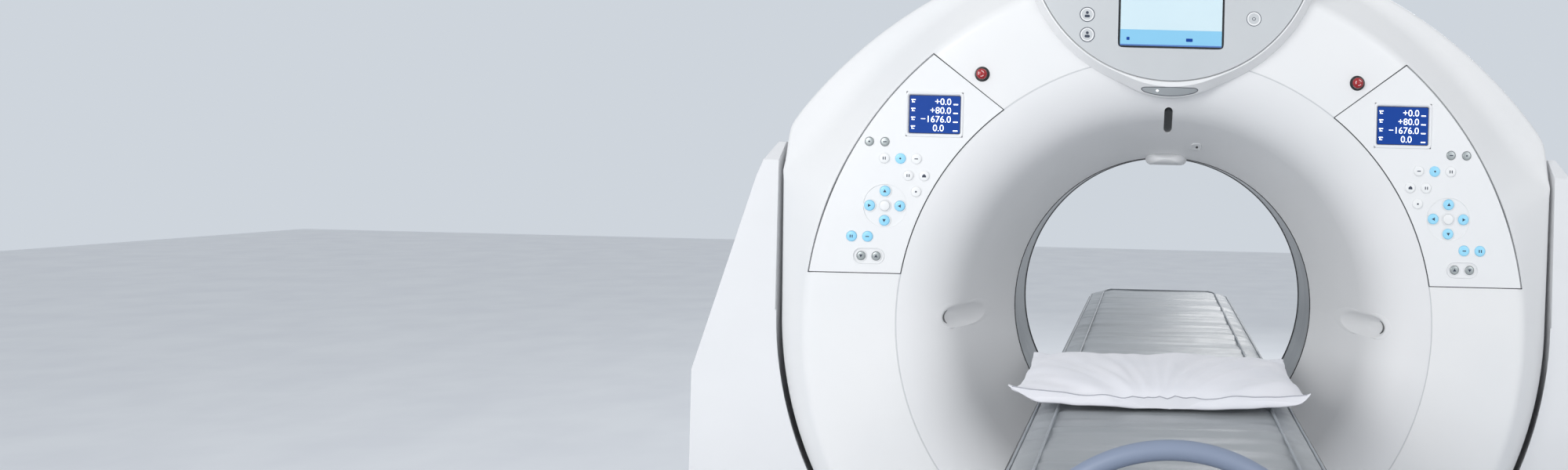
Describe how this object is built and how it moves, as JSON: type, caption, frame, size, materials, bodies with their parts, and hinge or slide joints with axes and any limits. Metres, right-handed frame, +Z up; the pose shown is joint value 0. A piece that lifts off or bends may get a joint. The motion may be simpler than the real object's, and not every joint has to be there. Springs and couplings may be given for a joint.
{
  "type": "ct scanner",
  "caption": "Whole-body CT scanner: round tilting gantry with a flared patient opening, display pod and control panels, and a couch whose padded top slides into the opening.",
  "frame": {"origin": "on the floor, straight under the centre of the patient opening (the isocentre)", "axes": "+Y runs along the scan axis from the couch into the gantry, +Z is up, +X is to the right seen from the couch"},
  "size_m": [2.27, 3.85, 1.933],
  "materials": {
    "cover_white": "satin gloss moulded cover",
    "frame_steel": "matt grey paint",
    "bearing_steel": "ground",
    "scan_window": "smoky film",
    "copper": "varnished winding",
    "black_plastic": "smooth",
    "silver_plate": "satin silver-grey",
    "screen": "lit screen",
    "lamp": "frosted lens",
    "lcd": "lit display",
    "key_blue": "smooth",
    "key_white": "smooth",
    "key_grey": "satin",
    "button_red": "smooth",
    "aluminium": "machined",
    "housing_grey": "satin paint",
    "slip_brass": "polished tracks",
    "carbon": "lacquered carbon fibre",
    "pad_vinyl": "soft vinyl",
    "handle_blue": "satin paint",
    "pillow_cotton": "plain cotton"
  },
  "bodies": {
    "stand": {"base_frame": "frame_steel", "left_stand_cover": "cover_white", "right_stand_cover": "cover_white", "lower_stand_cover": "cover_white", "tilt_bearings": "bearing_steel", "docking_cover": "cover_white", "couch_base_frame": "frame_steel", "couch_base_cover": "cover_white"},
    "gantry": {"tilt_frame": "frame_steel", "outer_shell": "cover_white", "front_cover": "cover_white", "rear_cover": "cover_white", "front_bore_ring": "cover_white", "rear_bore_ring": "cover_white", "scan_window": "scan_window", "bearing_outer_race": "bearing_steel", "drive_stator": "copper", "slip_ring_brushes": "black_plastic", "display_pod": "cover_white", "display_plate": "silver_plate", "touch_screen": "screen", "status_lamp": "lamp", "laser_windows": "black_plastic", "bore_sensor_housing": "cover_white", "right_control_panel": "cover_white", "left_control_panel": "cover_white", "panel_displays": "lcd", "fixed_panel_keys": "key_blue", "emergency_collars": "black_plastic"},
    "rotor": {"rotor_drum": "aluminium", "bearing_inner_race": "bearing_steel", "drive_magnet_ring": "frame_steel", "xray_tube": "housing_grey", "collimator": "housing_grey", "rotor_power_units": "housing_grey", "detector_arc": "housing_grey", "slip_ring": "slip_brass"},
    "left_stop": {"left_emergency_button": "button_red"},
    "right_stop": {"right_emergency_button": "button_red"},
    "lift_mid": {"lift_column_mid": "aluminium", "couch_mid_cover": "cover_white"},
    "lift": {"lift_column_inner": "aluminium", "couch_upper_cover": "cover_white", "carriage_frame": "frame_steel"},
    "top": {"couch_top": "carbon", "mattress": "pad_vinyl", "end_handle": "handle_blue", "pillow": "pillow_cotton"},
    "key_up": {"key_up": "key_blue"},
    "key_down": {"key_down": "key_blue"},
    "key_left": {"key_left": "key_blue"},
    "key_right": {"key_right": "key_blue"},
    "key_centre": {"key_centre": "key_white"},
    "key_grey_1": {"key_grey_1": "key_grey"},
    "key_grey_2": {"key_grey_2": "key_grey"},
    "key_grey_3": {"key_grey_3": "key_grey"},
    "key_grey_4": {"key_grey_4": "key_grey"},
    "key_blue_1": {"key_blue_1": "key_blue"},
    "key_blue_2": {"key_blue_2": "key_blue"}
  },
  "joints": [
    {"name": "gantry_tilt", "type": "hinge", "parent": "stand", "child": "gantry", "pos_m": [0, 0, 1], "axis": [1, 0, 0], "range_deg": [-30, 30]},
    {"name": "rotor_spin", "type": "hinge", "parent": "gantry", "child": "rotor", "pos_m": [0, 0, 1], "axis": [0, 1, 0], "continuous": true},
    {"name": "couch_lift", "type": "slide", "parent": "stand", "child": "lift", "axis": [0, 0, 1], "range_m": [-0.04, 0.08]},
    {"name": "couch_lift_mid", "type": "slide", "parent": "stand", "child": "lift_mid", "axis": [0, 0, 1], "range_m": [-0.02, 0.04]},
    {"name": "couch_slide", "type": "slide", "parent": "lift", "child": "top", "axis": [0, 1, 0], "range_m": [-1.4, 0.35]},
    {"name": "left_stop_press", "type": "slide", "parent": "gantry", "child": "left_stop", "axis": [0, 1, 0], "range_m": [0, 0.005], "stiffness_N_per_m": 500},
    {"name": "right_stop_press", "type": "slide", "parent": "gantry", "child": "right_stop", "axis": [0, 1, 0], "range_m": [0, 0.005], "stiffness_N_per_m": 500},
    {"name": "key_up_press", "type": "slide", "parent": "gantry", "child": "key_up", "axis": [0, 1, 0], "range_m": [0, 0.002], "stiffness_N_per_m": 400},
    {"name": "key_down_press", "type": "slide", "parent": "gantry", "child": "key_down", "axis": [0, 1, 0], "range_m": [0, 0.002], "stiffness_N_per_m": 400},
    {"name": "key_left_press", "type": "slide", "parent": "gantry", "child": "key_left", "axis": [0, 1, 0], "range_m": [0, 0.002], "stiffness_N_per_m": 400},
    {"name": "key_right_press", "type": "slide", "parent": "gantry", "child": "key_right", "axis": [0, 1, 0], "range_m": [0, 0.002], "stiffness_N_per_m": 400},
    {"name": "key_centre_press", "type": "slide", "parent": "gantry", "child": "key_centre", "axis": [0, 1, 0], "range_m": [0, 0.002], "stiffness_N_per_m": 400},
    {"name": "key_grey_1_press", "type": "slide", "parent": "gantry", "child": "key_grey_1", "axis": [0, 1, 0], "range_m": [0, 0.002], "stiffness_N_per_m": 400},
    {"name": "key_grey_2_press", "type": "slide", "parent": "gantry", "child": "key_grey_2", "axis": [0, 1, 0], "range_m": [0, 0.002], "stiffness_N_per_m": 400},
    {"name": "key_grey_3_press", "type": "slide", "parent": "gantry", "child": "key_grey_3", "axis": [0, 1, 0], "range_m": [0, 0.002], "stiffness_N_per_m": 400},
    {"name": "key_grey_4_press", "type": "slide", "parent": "gantry", "child": "key_grey_4", "axis": [0, 1, 0], "range_m": [0, 0.002], "stiffness_N_per_m": 400},
    {"name": "key_blue_1_press", "type": "slide", "parent": "gantry", "child": "key_blue_1", "axis": [0, 1, 0], "range_m": [0, 0.002], "stiffness_N_per_m": 400},
    {"name": "key_blue_2_press", "type": "slide", "parent": "gantry", "child": "key_blue_2", "axis": [0, 1, 0], "range_m": [0, 0.002], "stiffness_N_per_m": 400}
  ],
  "couplings": [
    {"joint": "couch_lift_mid", "follows": "couch_lift", "ratio": 0.5}
  ]
}
